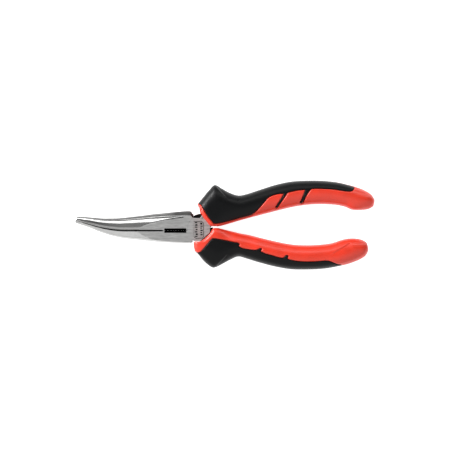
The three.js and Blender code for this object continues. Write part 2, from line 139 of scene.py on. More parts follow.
# Distance from the rivet and height above the parting line, along the outside of each jaw.
UPPER_JAW = [
    (NOSE_LENGTH, 2.5), (76, 4.7), (67.5, 6.3), (61, 7.45), (50, 8.85), (41, 9.9),
    (31, 11.15), (14.4, 12.7), (7.8, 13.0), (6.2, 11.6), (5.3, 10.75),
]
LOWER_JAW = [
    (NOSE_LENGTH, 1.8), (75, 2.15), (68, 2.9), (61, 3.85), (50, 5.4), (41, 6.35),
    (28, 7.75), (15, 8.4), (9, 8.5), (7, 8.25), (5.9, 7.4),
]
UPPER_BOXY = 1.0  # how much fuller than an oval each jaw is at the rivet
LOWER_BOXY = 3.5

# ---- Tangs, each a centre line with the half width at each point ----

UPPER_TANG = [
    (2.2, 4, 4.8), (7.6, 10.1, 5), (14, 13.4, 4.7), (24, 14.2, 4.2),
    (45, 19.8, 4), (70, 24.4, 3.6), (88, 23.6, 2.6),
]
LOWER_TANG = [
    (2.2, -4, 4.8), (7.2, -9.4, 5), (13, -11.5, 4.7), (24, -11.3, 4.2),
    (45, -16.3, 4), (70, -19.2, 3.6), (86, -18, 2.6),
]
TANG_HALF = 3.0  # half the thickness inside the grip
TANG_OFFSET = (0.13, 0.26)  # shares of the length between which a tang moves to mid thickness
TANG_BEVEL = 0.5
SOCKET_GAP = 0.25

# ---- Grips ----

GRIP_HALF = 7.97  # half the thickness of a grip
ROWS = 300  # points of the mesh along a grip,
MOUTH_ROWS = 14  # near its mouth
COLUMNS = 64  # and across one face
SECTION = 2.25  # exponent of the section along the handle
BLUNT_OUTER = 0.05  # how much more it is at the guard's mouth, on the outer side
BLUNT_INNER = 3.75  # and on the inner side
BLUNT_END = 0.32  # share of the length over which that wears off

POCKET_RADIUS = 14.6  # room inside a guard for the jaw's shoulder to swing into
POCKET_HALF = HEAD_HALF + 0.33
POCKET_ANGLES = (92, 165)
DISC_ROOM = BACK_RADIUS + 0.3

FACE_BLEND = 2.5  # distance from mid thickness at which the back's pattern has turned into the front's
SKIN_DROP = 0.15  # how far the soft overmould lies below the hard core
SKIN_DEPTH = 1.2  # its thickness
CORE_DEPTH = 1.4  # depth of the core's face under it
FILLET = 0.6  # radius of the rounded edges along its limits
GROOVE = (-0.2, 0.1)  # the groove between the two, from the overmould's edge to the core's
LEVELS = (-1.1, -0.8, -0.6, -0.42, -0.28, *GROOVE, 0.18, 0.32, 0.5, 0.7, 1.0)  # where the mesh is split

# Stations of a grip: outer point, inner point and half thickness.
UPPER_GRIP = [
    (-2.8, 16.7, 5.7, 2, 7.2), (0.7, 21, 8.3, 1.7, 7.9), (4.6, 25.7, 11.4, 1.8, 8), (8.8, 29.6, 14.5, 2.4, 8),
    (13.5, 27.3, 18, 3.4, 8), (19, 24.3, 21.5, 4.4, 8), (24.7, 22.6, 25.5, 5.6, 8), (30.1, 23.5, 31, 7.1, 8),
    (38.1, 26.1, 40, 9.5, 8), (48.8, 29.5, 52, 12.6, 8), (59.5, 31.8, 61, 14.7, 8), (70.1, 32.46, 70, 16.1, 8),
    (80.8, 32.34, 79, 16.6, 7.9), (91.5, 31.2, 88.8, 16.2, 7.7), (100.5, 28.9, 95.5, 14.9, 7.4),
    (108, 26.3, 100.5, 12.9, 7.1), (113, 23.3, 106, 12.6, 6.2), (115.35, 20.1, 111.5, 13.3, 4.2),
    (115.5, 18.1, 114.6, 15.0, 1.6),
]
LOWER_GRIP = [
    (-2.5, -16.6, 7, 0.3, 7.2), (-0.2, -19.7, 8.8, 0.85, 7.9), (2.3, -22.4, 11.4, 0.6, 8), (5.5, -25, 14, 0, 8),
    (8.6, -26, 16.5, -0.6, 8), (13.5, -23.8, 19.4, -1.3, 8), (19, -20.8, 22.5, -2, 8),
    (24.5, -18.6, 26, -2.9, 8),
    (30, -19.9, 31.5, -3.9, 8), (38, -22.35, 39.5, -5.9, 8), (48.8, -25.2, 50.5, -8.5, 8),
    (59.5, -27.0, 60.5, -10.3, 8), (69.5, -27.25, 70, -10.8, 8), (80.8, -26.75, 79.5, -10.4, 7.9),
    (90, -25.3, 87, -9.4, 7.7), (98.5, -23.2, 93.5, -7.3, 7.4), (105, -20.7, 98.8, -6.3, 7.1),
    (109.3, -18.1, 105.2, -6.6, 6.2), (111.2, -14.8, 109.6, -8.4, 4.2), (111.3, -12.8, 110.9, -10.6, 1.6),
]

# Rim of the guard's mouth on each face, from the outer edge to the inner one.
UPPER_FRONT_RIM = [(-2.8, 16.7), (-1.3, 14.7), (-0.35, 12.7), (-0.2, 10.7), (1, 8), (3.7, 4.7), (5.7, 2)]
UPPER_BACK_RIM = [(-2.8, 16.7), (-1.7, 14.2), (-1.1, 11.8), (-0.5, 9.6), (1.4, 7.2), (3.9, 4.6), (5.7, 2)]
LOWER_FRONT_RIM = [
    (-2.5, -16.6), (-4.3, -14.9), (-5.05, -12), (-4.6, -8.5), (-1, -8.2), (2.7, -5.7), (6, -2.4), (7, 0.3),
]
LOWER_BACK_RIM = [(-2.5, -16.6), (-1.9, -13.5), (-1, -11), (1, -8), (3.7, -4.7), (5.9, -1.8), (7, 0.3)]
RIM_REACH = 0.16  # share of the length over which a rim's shape wears off

# Folds that fade out along a line: start, end and depth. Then the rounding of each mouth: width and depth.
UPPER_FOLDS = [((8.8, 29.6), (17.5, 19.8), 0.8)]
LOWER_FOLDS = [((16.5, -17.5), (8.6, -26), 0.5), ((98, -9.6), (85, -17.2), 0.45)]
FOLD_DROP = (-0.2, 0.6)  # distances beside a fold between which the surface drops,
FOLD_RISE = (0.6, 8.0)  # and between which it comes back up
FOLD_START = (-2.0, 0.5)  # distances along a fold between which it starts,
FOLD_END = (0.5, 1.15)  # and shares of its length between which it ends
UPPER_LIP = (1.6, 1.4)
LOWER_LIP = (3.4, 2.1)

# Limits of the soft overmould as strokes that meet in corners: the striped face and the nubbed one.
STRIPED_FACE = [
    [(-7, 18.2), (-0.9, 16.3)],
    [(-0.9, 16.3), (1.6, 12.4), (3.8, 8.7), (6.0, 5.8), (8.2, 3.3)],
    [(8.2, 3.3), (9, 3), (15.7, 4.2), (22.4, 5.75), (29.1, 7.6), (32.6, 8.5), (34.9, 10), (37.1, 12),
     (40.1, 15.4), (42.75, 18.7), (45.1, 21.1), (47.8, 22.4), (51.1, 23.2), (54.6, 23.5)],
    [(54.6, 23.5), (54.2, 22.5), (51.8, 18.4), (49, 14.1)],
    [(49, 14.1), (49.8, 13.3), (50.7, 13.7)],
    [(50.7, 13.7), (53.4, 17.8), (56.2, 22.2), (57.5, 24.1)],
    [(57.5, 24.1), (60.1, 24.75), (64.5, 25.65), (69, 26.1)],
    [(69, 26.1), (66.7, 20), (65.3, 17)],
    [(65.3, 17), (66.5, 16.4), (67.8, 17.2)],
    [(67.8, 17.2), (69.1, 20), (71.1, 23.9), (73, 26.5)],
    [(73, 26.5), (76.7, 26.8), (82.2, 26.7), (87.8, 26.3), (93.3, 25.45), (97.7, 25)],
    [(97.7, 25), (99.7, 25.15), (101.2, 26.2), (102.1, 27.9), (103.5, 34)],
]
NUBBED_FACE = [
    [(-7.5, -14.2), (-2.5, -16)],
    [(-2.5, -16), (-0.5, -15), (2.9, -11.2), (6.4, -7.1), (8, -6.15), (11.5, -6.6), (16.2, -7.4), (20, -8.15),
     (24, -8.95)],
    [(24, -8.95), (25.6, -9.9), (24.9, -11.2)],
    [(24.9, -11.2), (26, -12.2), (28.5, -13), (32.8, -13.7), (36.4, -13.95)],
    [(36.4, -13.95), (38.3, -13.1), (39.6, -12.6), (40.4, -13.3), (39.2, -14.7)],
    [(39.2, -14.7), (42.6, -16.2), (46.8, -17.4), (50.7, -18.6), (54.2, -19.3)],
    [(54.2, -19.3), (55.6, -18), (56.9, -17.2), (57.9, -18), (57.3, -20)],
    [(57.3, -20), (62.9, -21.2), (68.5, -21.7), (73.8, -21.7), (79.5, -21.3), (83.4, -21.1), (86, -21.7),
     (90.5, -23.6), (93.6, -24.6), (97, -30)],
]
LINE_SPACING = 0.12
LINE_EASE = 5  # points over which a corner is eased, to each side
FLIP_SHIFT = 3.0  # a grip turned over on the other handle: its shift along X,
FLIP_RISE = 3.3  # its shift across the handles
FLIP_SLOPE = 0.033  # and its turn

# ---- Stamped panel on the front of the joint ----

PANEL = [(-5.1, 5.3), (0.3, 5.3), (1.7, 3.9), (1.7, -5.2), (0.6, -6.3), (-3.6, -6.5), (-5.5, -5.0), (-5.5, 4.9)]
PANEL_DEPTH = 0.28  # depth of its frame and its marks
PANEL_LINE = 0.36  # width of its frame
ETCH_DEPTH = 0.06  # depth of the ground inside the frame
MARK_CORNER = 0.25
PANEL_ROOM = 6.0  # height that the cuts reach, above the joint's face
# Plain marks in two columns: centre, width and height.
MARKS = [
    (-3.55, 4.3, 1.7, 0.8), (-3.3, 2.7, 1.5, 1.1), (-3.5, 1.25, 1.9, 0.7), (-3.2, -0.35, 1.3, 0.9),
    (-3.5, -1.9, 1.8, 0.75), (-3.1, -3.5, 1.5, 1.1), (-3.4, -4.9, 1.8, 0.7),
    (-0.1, 3.6, 1.4, 1.3), (0.1, 1.9, 1.6, 0.7), (-0.2, 0.6, 1.1, 0.7), (0.1, -0.9, 1.6, 0.9),
    (-0.1, -2.4, 1.2, 0.7), (0.1, -3.8, 1.5, 0.8),
]

# ---- Looks, with colours as 0 to 255 screen values ----

SMOOTH_ANGLE = math.radians(32)

STEEL = {"flat": (185, 185, 184), "nose": (226, 226, 225), "joint": (197, 186, 184)}
RIVET_STEEL = dict.fromkeys(STEEL, (195, 186, 184))
UPPER_SIDE_SHADE = (78, 77, 76)  # painted shade on the steep sides of each lever and of the rivet, heavy on the upper jaw and light on the lower
LOWER_SIDE_SHADE = (165, 165, 164)
RIVET_SIDE_SHADE = (120, 118, 116)
SCALE_AND_SHADE_TONES = ((24, 24, 24), (42, 41, 40))  # dark scale in the stamped marks, and painted shade in the other recesses and on the jaws' shoulders
TOP_SHADE_TONES = ((58, 58, 58), (96, 95, 94))  # painted shade on the top of the upper jaw near the head
ORANGE = (224, 52, 27)
BLACK = (7, 8, 9)

# Limits between which one look of the steel changes to the next, for a part of the normal or a place in mm.
FLAT_NORMAL = (0.985, 0.997)
SIDE_SHADE_NORMAL = (0.58, 0.7)
INNER_NORMAL = (0.2, 0.35)
TOP_SHADE_NORMAL = (0.5, 0.6)
SHOULDER_NORMAL = (0.2, 0.4)
JOINT_X = (-9.0, 2.0)
JAW_X = (-5.2, -4.9)
TOP_SHADE_X = (-25.0, -17.0)
SHOULDER_X = (-12.0, -10.0)
SLOT_Z = (4.3, 4.6)
SUNK_Z = (4.5, 4.62)
ETCH_Z = (4.7, 4.73)
SIDE_SHADE_SHARE = 0.85  # how much of the painted side shade a steep side takes
ETCH_SHARE = 0.14  # how much of the dark tone the etched panel takes

# ---- Stage, in metres ----

FLOOR_HALF = 1.6
FLOOR_POINTS = 3  # along each side
FLOOR_Z = -0.0005
PAPER_TONES = ((0.5, 0.5, 0.5, 1), (0.54, 0.54, 0.54, 1))
PAPER_GLOW = 0.95

WORLD_STRENGTH = 2.5
LEFT_GREY = (0.26, 0.26, 0.26, 1)  # light from the left, where the bands fade out
LEFT_X = (-0.1, -0.4)  # direction along X over which they fade,
LEFT_SHARE = 0.7  # and how far
# Bands of light that the steel reflects: direction along Y, and brightness.
BANKS = [
    (-1.0, 0.34), (-0.22, 0.34), (-0.08, 0.24), (0.03, 0.12), (0.15, 0.03), (0.51, 0.03), (0.56, 0.15),
    (0.61, 1.0), (0.76, 1.0), (0.805, 0.0), (0.89, 0.0), (0.92, 0.6), (0.935, 0.6), (0.96, 0.05), (1.0, 0.05),
]

IMAGE_WIDTH = 0.3006  # width of the picture at the height of the pliers
LENS = 150.0
SENSOR = 36.0
CAMERA_OVER = (0.00035, 0.00006, 0.008)  # the point that the camera looks down on

# ---- Curves ----


def curve(points, shares):
    """Catmull-Rom curve through points, at shares of its run from 0 to 1, as the CAD draws it."""
    points = np.asarray(points, float)
    shares = np.atleast_1d(shares)
    ends = np.vstack([2 * points[0] - points[1], points, 2 * points[-1] - points[-2]])
    run = np.clip(shares, 0, 1) * (len(points) - 1)
    index = np.minimum(run.astype(int), len(points) - 2)
    t = (run - index)[:, None]
    before, start, end, after = (ends[index + k] for k in range(4))
    slope_in, slope_out = 0.5 * (end - before), 0.5 * (after - start)
    return (
        start
        + t * slope_in
        + t**2 * (3 * (end - start) - 2 * slope_in - slope_out)
        + t**3 * (2 * (start - end) + slope_in + slope_out)
    )


def ramp(value, low, high):
    return np.clip((value - low) / (high - low), 0, 1)


def smooth(value, low, high):
    t = ramp(value, low, high)
    return t * t * (3 - 2 * t)


# ---- Meshes ----


def loft(rings):
    """Closed triangle mesh through rings, an array of (ring, point, xyz), with a fan over each end."""
    rows, columns = rings.shape[:2]
    grid = np.arange(rows * columns).reshape(rows, columns)
    here, there = grid[:-1], grid[1:]
    next_here, next_there = np.roll(here, -1, axis=1), np.roll(there, -1, axis=1)
    sides = np.concatenate([
        np.stack([here, there, next_there], axis=-1).reshape(-1, 3),
        np.stack([here, next_there, next_here], axis=-1).reshape(-1, 3),
    ])
    verts = np.vstack([rings.reshape(-1, 3), rings[0].mean(axis=0), rings[-1].mean(axis=0)])
    first, last = len(verts) - 2, len(verts) - 1
    start = np.stack([np.full(columns, first), grid[0], np.roll(grid[0], -1)], axis=-1)
    end = np.stack([np.full(columns, last), np.roll(grid[-1], -1), grid[-1]], axis=-1)
    return outward(verts, np.concatenate([sides, start, end]))


def outward(verts, faces):
    a, b, c = (verts[faces[:, k]] for k in range(3))
    if np.einsum("ij,ij->i", a, np.cross(b, c)).sum() < 0:
        faces = faces[:, ::-1]
    return verts, faces


def make(name, shape):
    verts, faces = shape
    data = bpy.data.meshes.new(name)
    data.from_pydata((verts * MM + PIVOT).tolist(), [], faces.tolist())
    data.update()
    piece = bpy.data.objects.new(name, data)
    bpy.context.collection.objects.link(piece)
    return piece


def settle(piece):
    """Applies a piece's modifiers to its mesh."""
    depsgraph = bpy.context.evaluated_depsgraph_get()
    done = bpy.data.meshes.new_from_object(piece.evaluated_get(depsgraph))
    piece.modifiers.clear()
    piece.data = done


def combine(piece, other, operation):
    """Joins another object to a piece, or cuts it out, and drops that object."""
    step = piece.modifiers.new("combine", "BOOLEAN")
    step.operation = operation
    step.object = other
    step.solver = "MANIFOLD"
    settle(piece)
    bpy.data.objects.remove(other)


def cut(piece, shape):
    combine(piece, make("tool", shape), "DIFFERENCE")


def join(piece, shape):
    combine(piece, make("tool", shape), "UNION")


def prism(outline, low, high, top=0.0, bottom=0.0):
    """Closed prism on an outline, with a chamfer of the given size at its top and its bottom."""
    outline = np.asarray(outline, float)
    levels = [(low, bottom)]
    if bottom:
        levels.append((low + bottom, 0.0))
    if top:
        levels.append((high - top, 0.0))
    levels.append((high, top))
    rings = []
    for z, inset in levels:
        flat = inset_outline(outline, inset)
        rings.append(np.column_stack([flat, np.full(len(flat), z)]))
    return loft(np.array(rings))


MITRE_LIMIT = 0.5  # keeps the corners of an inset outline short


def inset_outline(outline, inset):
    """A closed outline moved inwards by a distance, corner by corner."""
    before = outline - np.roll(outline, 1, axis=0)
    after = np.roll(outline, -1, axis=0) - outline
    before /= np.linalg.norm(before, axis=1)[:, None]
    after /= np.linalg.norm(after, axis=1)[:, None]
    bisector = before + after
    bisector /= np.linalg.norm(bisector, axis=1)[:, None]
    reach = inset / np.maximum(np.einsum("ij,ij->i", bisector, before), MITRE_LIMIT)
    following = np.roll(outline, -1, axis=0)
    area = np.sum(outline[:, 0] * following[:, 1] - outline[:, 1] * following[:, 0])
    inward = np.column_stack([-bisector[:, 1], bisector[:, 0]]) * np.sign(area)
    return outline + inward * reach[:, None]


def round_outline(radius, start=0.0, end=360.0, steps=144):
    angles = np.radians(np.linspace(start, end, steps, endpoint=abs(end - start) < 360))
    return radius * np.column_stack([np.cos(angles), np.sin(angles)])


def rounded_box(x, y, half_width, half_height, corner, steps=6):
    points = []
    for sx, sy, start in ((1, 1, 0), (-1, 1, 90), (-1, -1, 180), (1, -1, 270)):
        centre = np.array([x + sx * (half_width - corner), y + sy * (half_height - corner)])
        points.append(centre + round_outline(corner, start, start + 90, steps))
    return np.concatenate(points)


# ---- Jaws ----


def parting(distance):
    """Point and direction of the line between the jaws, at distances from the rivet."""
    turned = np.clip((distance - BEND_START) / BEND_RADIUS, 0, BEND_ANGLE)
    before = np.minimum(distance, BEND_START)
    after = np.maximum(distance - BEND_START - BEND_RADIUS * BEND_ANGLE, 0)
    x = -before - BEND_RADIUS * np.sin(turned) - after * np.cos(turned)
    y = PARTING_Y + BEND_RADIUS * (1 - np.cos(turned)) + after * np.sin(turned)
    return x, y, turned


def jaw_rows(profile):
    """Distances of a jaw's sections, dense along the teeth, with the height at each."""
    shares = np.linspace(0, 1, 400)
    distances, heights = curve(profile, shares).T
    back = np.linspace(profile[-1][0], SLOT_START, 24)
    middle = np.arange(SLOT_START + 0.5, TOOTH_START, 0.5)
    teeth = np.arange(TOOTH_START, TOOTH_REACH, TOOTH_PITCH / 4)
    tip = np.linspace(TOOTH_REACH, NOSE_LENGTH, 16)
    rows = np.concatenate([back, middle, teeth, tip])[::-1]
    return rows, np.interp(rows, distances[::-1], heights[::-1])


def jaw_ring(rise_limits, half, flat, exponent, inner, toothed, distance):
    """One section of a jaw, as the height above the parting line and the place through the thickness."""
    low, high = rise_limits
    start = max(math.acos(min(flat / half, 1)), math.asin(min(EDGE_RISE / (high - low), 0.5)))
    turns = np.linspace(start, math.pi - start, ARC_STEPS)
    arc_rise = low + (high - low) * np.sin(turns) ** (2 / exponent)
    arc_z = np.clip(half * np.cos(turns), -flat, flat)
    wide = TOOTH_CHAMFER * toothed * (1 - TOOTH_CHAMFER_LOSS * ramp(distance, TOOTH_END - 6, TOOTH_REACH))
    chamfer = min(EDGE_CHAMFER + wide, (arc_rise[0] - low) * 0.7)
    face_rise = np.linspace(low + chamfer, arc_rise[0], FACE_STEPS + 1)[:-1]
    face_z = np.full(FACE_STEPS, flat)
    inner_z = np.linspace(-flat + chamfer, flat - chamfer, INNER_STEPS)
    rise = np.concatenate([np.full(INNER_STEPS, inner), face_rise, arc_rise, face_rise[::-1]])
    return rise, np.concatenate([inner_z, face_z, arc_z, -face_z])


def jaw(profile, side, boxy):
    """Closed mesh of a jaw. side is 1 above the parting line and -1 below it."""
    rows, heights = jaw_rows(profile)
    x, y, turned = parting(rows)
    half = HEAD_HALF + (FLAT_START - rows) * JAW_TAPER
    flat = np.minimum(half, HEAD_HALF)
    exponent = 2 * boxy ** ramp(rows, OVAL_END, FULL_START)
    opened = smooth(rows, TOOTH_START, TOOTH_START + TOOTH_RUN_IN) * (1 - ramp(rows, TOOTH_END, NOSE_LENGTH))
    gap = TIP_GAP + (TOOTH_GAP - TIP_GAP) * opened
    begun = ramp(rows, TOOTH_START, TOOTH_START + TOOTH_FADE_IN)
    toothed = begun * (1 - ramp(rows, TOOTH_REACH - TOOTH_FADE_OUT, TOOTH_REACH))
    half_pitch = 0.5 if side < 0 else 0
    wave = np.abs(((rows / TOOTH_PITCH + half_pitch) % 1) * 2 - 1)
    inner = gap + toothed * TOOTH_DEPTH * (wave - 0.5)
    tip = np.sqrt(np.clip(1 - (1 - ramp(NOSE_LENGTH - rows, 0, TIP_ROUND)) ** 2, TIP_END, 1))
    rings = []
    for k in range(len(rows)):
        rise, z = jaw_ring((gap[k], heights[k]), half[k], flat[k], exponent[k], inner[k], toothed[k], rows[k])
        middle = heights[k] / 2
        rise = middle + (rise - middle) * tip[k]
        rings.append(np.column_stack([
            x[k] + side * rise * math.sin(turned[k]),
            y[k] + side * rise * math.cos(turned[k]),
            z * tip[k],
        ]))
    return loft(np.array(rings))


def slot_outline():
    """The cutter's relief as a rectangle with rounded corners."""
    middle, half_length = -(SLOT_START + SLOT_END) / 2, (SLOT_END - SLOT_START) / 2
    return rounded_box(middle, PARTING_Y, half_length, SLOT_DEPTH, SLOT_CORNER, 7)


def blade(side):
    """One cutting edge: a wedge that fills the relief up to the parting line at mid thickness."""
    profile = np.array(BLADE_PROFILE + [(rise, -z) for rise, z in reversed(BLADE_PROFILE)])
    rings = []
    for x in np.linspace(-SLOT_END - BLADE_ROOT, -SLOT_START + BLADE_ROOT, 8):
        y = PARTING_Y + side * profile[:, 0]
        rings.append(np.column_stack([np.full(len(profile), x), y, profile[:, 1]]))
    return loft(np.array(rings))


# ---- Lap joint ----


def disc_outline(side):
    top = 180 - math.degrees(math.asin(DISC_TOP / DISC_RADIUS))
    foot = 180 - math.degrees(math.asin(DISC_FOOT / DISC_RADIUS))
    outline = np.concatenate([round_outline(DISC_RADIUS, top, foot, 72), np.array(DISC_CORNERS)])
    outline[:, 1] *= side
    return outline


def sector(radius, start, end, low, high):
    return prism(np.vstack([(0, 0), round_outline(radius, start, end, 40)]), low, high)


def tang(route, side, extra):
    """The steel bar inside a handle, or the socket that it sits in."""
    shares = np.linspace(0, 1, 60)
    route = np.array(route, float)
    centre = curve(route[:, :2], shares)
    width = curve(route[:, 2:], shares)[:, 0] + extra
    along = np.gradient(centre, axis=0)
    along /= np.linalg.norm(along, axis=1)[:, None]
    across = np.column_stack([-along[:, 1], along[:, 0]])
    centred = ramp(shares, *TANG_OFFSET)
    near = LAP_GAP + (-TANG_HALF - LAP_GAP) * centred - extra
    far = HEAD_HALF + (TANG_HALF - HEAD_HALF) * centred + extra
    rings = []
    for k in range(len(shares)):
        edge, low, high = width[k], near[k], far[k]
        corners = [
            (-edge + TANG_BEVEL, high), (edge - TANG_BEVEL, high), (edge, high - TANG_BEVEL),
            (edge, low + TANG_BEVEL), (edge - TANG_BEVEL, low), (-edge + TANG_BEVEL, low),
            (-edge, low + TANG_BEVEL), (-edge, high - TANG_BEVEL),
        ]
        rings.append([(*(centre[k] + across[k] * a), side * z) for a, z in corners])
    return loft(np.array(rings))


def ordered(low, high, side):
    """Limits through the thickness, turned over for the rear lever."""
    return (low, high) if side > 0 else (-high, -low)


def lever(name, side, jaw_shape, jaw_side, route):
    """A lever: jaw, half of the lap joint and tang. side is 1 for the front lever."""
    piece = make(name, jaw_shape)
    cut(piece, prism(slot_outline(), -BEYOND, BEYOND))
    join(piece, blade(jaw_side))
    other = ordered(-BEYOND, LAP_GAP, side)
    cut(piece, prism(round_outline(DISC_RADIUS + SEAM), *other))
    low, high = ordered(LAP_GAP, DISC_HALF, side)
    bevels = (DISC_BEVEL, 0.0) if side > 0 else (0.0, DISC_BEVEL)
    join(piece, prism(disc_outline(side), low, high, *bevels))
    bar = make("bar", tang(route, side, 0))
    cut(bar, prism(round_outline(DISC_ROOM), *other))
    combine(piece, bar, "UNION")
    return piece


# ---- Grips ----


def grip_sheet(stations, rim, sign, folds, lip):
    """One face of a grip as a grid of points from the guard to the end, outer edge to inner edge."""
    stations = np.array(stations, float)
    mouth = 0.5 / (len(stations) - 1)
    shares = np.concatenate([np.linspace(0, mouth, MOUTH_ROWS)[:-1], np.linspace(mouth, 1, ROWS)])
    outer = curve(stations[:, 0:2], shares)
    inner = curve(stations[:, 2:4], shares)
    half = np.minimum(curve(stations[:, 4:5], shares)[:, 0], GRIP_HALF)
    across = -np.cos(np.linspace(0, math.pi, COLUMNS + 1))
    place = (across + 1) / 2
    blunt = 1 - smooth(shares, 0.0, BLUNT_END)
    exponent = SECTION + blunt[:, None] * np.where(across[None, :] < 0, BLUNT_OUTER, BLUNT_INNER)
    level = (1 - np.abs(across)[None, :] ** exponent) ** (1 / exponent)
    plan = outer[:, None, :] + (inner - outer)[:, None, :] * place[None, :, None]
    rim_points = curve(rim, place)
    chord = rim_points[0] + (rim_points[-1] - rim_points[0]) * place[:, None]
    fade = (1 - ramp(shares, 0, RIM_REACH)) ** 2
    plan = plan + (rim_points - chord)[None, :, :] * fade[:, None, None]
    away = np.linalg.norm(plan - plan[:1], axis=2)
    rounding = lip[1] * (1 - np.sqrt(np.clip(1 - (1 - ramp(away, 0, lip[0])) ** 2, 0, 1)))
    z = half[:, None] * level - rounding * smooth(half[:, None] * level, 2, 6)
    for fold in folds:
        z = z - np.minimum(fold_drop(plan, *fold), 0.5 * z)
    z = np.maximum(z, 0)
    return np.dstack([plan, sign * z])


def fold_drop(plan, start, end, depth):
    """Drop of the surface on the far side of a fold that fades out along a line and away from it."""
    start, end = np.array(start), np.array(end)
    length = np.linalg.norm(end - start)
    ahead = (end - start) / length
    off = plan - start
    along = off @ ahead
    beside = off @ np.array([-ahead[1], ahead[0]])
    profile = smooth(beside, *FOLD_DROP) * (1 - smooth(beside, *FOLD_RISE))
    ended = smooth(along, FOLD_END[0] * length, FOLD_END[1] * length)
    return depth * profile * (1 - ended) * smooth(along, *FOLD_START)


def grip_solid(stations, front_rim, back_rim, folds, lip):
    """Closed mesh of a whole grip."""
    front = grip_sheet(stations, front_rim, 1, folds, lip)
    back = grip_sheet(stations, back_rim, -1, folds, lip)
    rows, columns = front.shape[:2]
    # Both faces share the mould line along the two edges. The mouth gets walls, with a shelf between them.
    verts = [front.reshape(-1, 3)]
    front_id = np.arange(rows * columns).reshape(rows, columns)
    back_id = front_id.copy()
    inside = back[:, 1:-1].reshape(-1, 3)
    back_id[:, 1:-1] = rows * columns + np.arange(len(inside)).reshape(rows, columns - 2)
    verts.append(inside)
    faces = [grid_faces(front_id), grid_faces(back_id)[:, ::-1]]
    count = rows * columns + len(inside)
    shelf = [front_id[0]]
    for sheet in (front, back):
        verts.append(np.column_stack([sheet[0, 1:-1, :2], np.zeros(columns - 2)]))
        shelf.append(np.concatenate([[front_id[0, 0]], count + np.arange(columns - 2), [front_id[0, -1]]]))
        count += columns - 2
    shelf.append(back_id[0])
    faces += [strip(first, second) for first, second in zip(shelf, shelf[1:])]
    faces.append(strip(front_id[-1], back_id[-1])[:, ::-1])
    verts = np.vstack(verts)
    faces = np.concatenate(faces)
    solid = (faces[:, 0] != faces[:, 1]) & (faces[:, 1] != faces[:, 2]) & (faces[:, 2] != faces[:, 0])
    return outward(verts, faces[solid])


def grid_faces(ids):
    """Triangles over a grid of points."""
    a, b, c, d = ids[:-1, :-1], ids[1:, :-1], ids[1:, 1:], ids[:-1, 1:]
    return np.concatenate([
        np.stack([a, b, c], axis=-1).reshape(-1, 3),
        np.stack([a, c, d], axis=-1).reshape(-1, 3),
    ])


def strip(first, second):
    """Triangles between two rows of points."""
    a, b, c, d = first[:-1], first[1:], second[1:], second[:-1]
    return np.concatenate([np.stack([a, b, c], axis=-1), np.stack([a, c, d], axis=-1)])


def vertex_normals(verts, faces):
    a, b, c = (verts[faces[:, k]] for k in range(3))
    flat = np.cross(b - a, c - a)
    normals = np.zeros_like(verts)
    for k in range(3):
        np.add.at(normals, faces[:, k], flat)
    return normals / np.maximum(np.linalg.norm(normals, axis=1), 1e-12)[:, None]


def face_line(strokes, flip=0.0):
    """Dense line along a face's limits with its corners eased. flip carries it to the other handle."""
    dense = []
    for stroke in strokes:
        length = np.sum(np.linalg.norm(np.diff(np.array(stroke), axis=0), axis=1))
        dense.append(curve(stroke, np.linspace(0, 1, max(int(length / LINE_SPACING), 4)))[:-1])
    line = np.vstack(dense + [np.array(strokes[-1][-1:])])
    padded = np.vstack([np.repeat(line[:1], LINE_EASE, axis=0), line, np.repeat(line[-1:], LINE_EASE, axis=0)])
    kernel = np.ones(2 * LINE_EASE + 1) / (2 * LINE_EASE + 1)
    line = np.column_stack([np.convolve(padded[:, k], kernel, mode="valid") for k in range(2)])
    if flip:
        line = np.column_stack([line[:, 0] + flip, FLIP_RISE + FLIP_SLOPE * line[:, 0] - line[:, 1]])
    return line


def signed_distance(points, line):
    """Distance in plan from points to an open line, positive on its right hand side."""
    result = np.empty(len(points))
    ahead = np.diff(line, axis=0)
    lengths = np.linalg.norm(ahead, axis=1)
    ahead /= lengths[:, None]
    turn = np.vstack([ahead[:1], ahead[:-1] + ahead[1:], ahead[-1:]])
    normal = np.column_stack([turn[:, 1], -turn[:, 0]])
    normal /= np.linalg.norm(normal, axis=1)[:, None]
    batch = 4000  # points measured together, to save memory
    for start in range(0, len(points), batch):
        part = points[start:start + batch]
        gap = part[:, None, :] - line[None, :, :]
        near = np.argmin(np.einsum("ijk,ijk->ij", gap, gap), axis=1)
        off = part - line[near]
        best = np.full(len(part), np.inf)
        for step in (-1, 0):
            k = np.clip(near + step, 0, len(ahead) - 1)
            run = np.clip(np.einsum("ij,ij->i", part - line[k], ahead[k]), 0, lengths[k])
            foot = line[k] + ahead[k] * run[:, None]
            best = np.minimum(best, np.linalg.norm(part - foot, axis=1))
        sign = np.sign(np.einsum("ij,ij->i", off, normal[near]))
        result[start:start + batch] = best * np.where(sign == 0, 1, sign)
    return result


def split(values, faces, field, level):
    """Splits triangles along a level of a field. values holds every point's numbers, the field's among them."""
    least = 1e-7
    side = values[:, field] - level
    side[np.abs(side) < least] = least
    above = side > 0
    count = above[faces].sum(axis=1)
    mixed = (count == 1) | (count == 2)
    kept, crossed = faces[~mixed], faces[mixed]
    alone_above = above[crossed].sum(axis=1) == 1
    lone = np.argmax(above[crossed] == alone_above[:, None], axis=1)
    rows = np.arange(len(crossed))
    a, b, c = (crossed[rows, (lone + k) % 3] for k in range(3))
    edges = np.concatenate([np.stack([a, b], -1), np.stack([a, c], -1)])
    unique, inverse = np.unique(np.sort(edges, axis=1), axis=0, return_inverse=True)
    inverse = inverse.reshape(-1)
    p, q = unique[:, 0], unique[:, 1]
    share = (side[p] / (side[p] - side[q]))[:, None]
    new = values[p] + (values[q] - values[p]) * share
    new[:, field] = level
    ids = len(values) + inverse
    ab, ac = ids[:len(crossed)], ids[len(crossed):]
    pieces = [kept, np.stack([a, ab, ac], -1), np.stack([ab, b, c], -1), np.stack([ab, c, ac], -1)]
    return np.vstack([values, new]), np.concatenate(pieces)


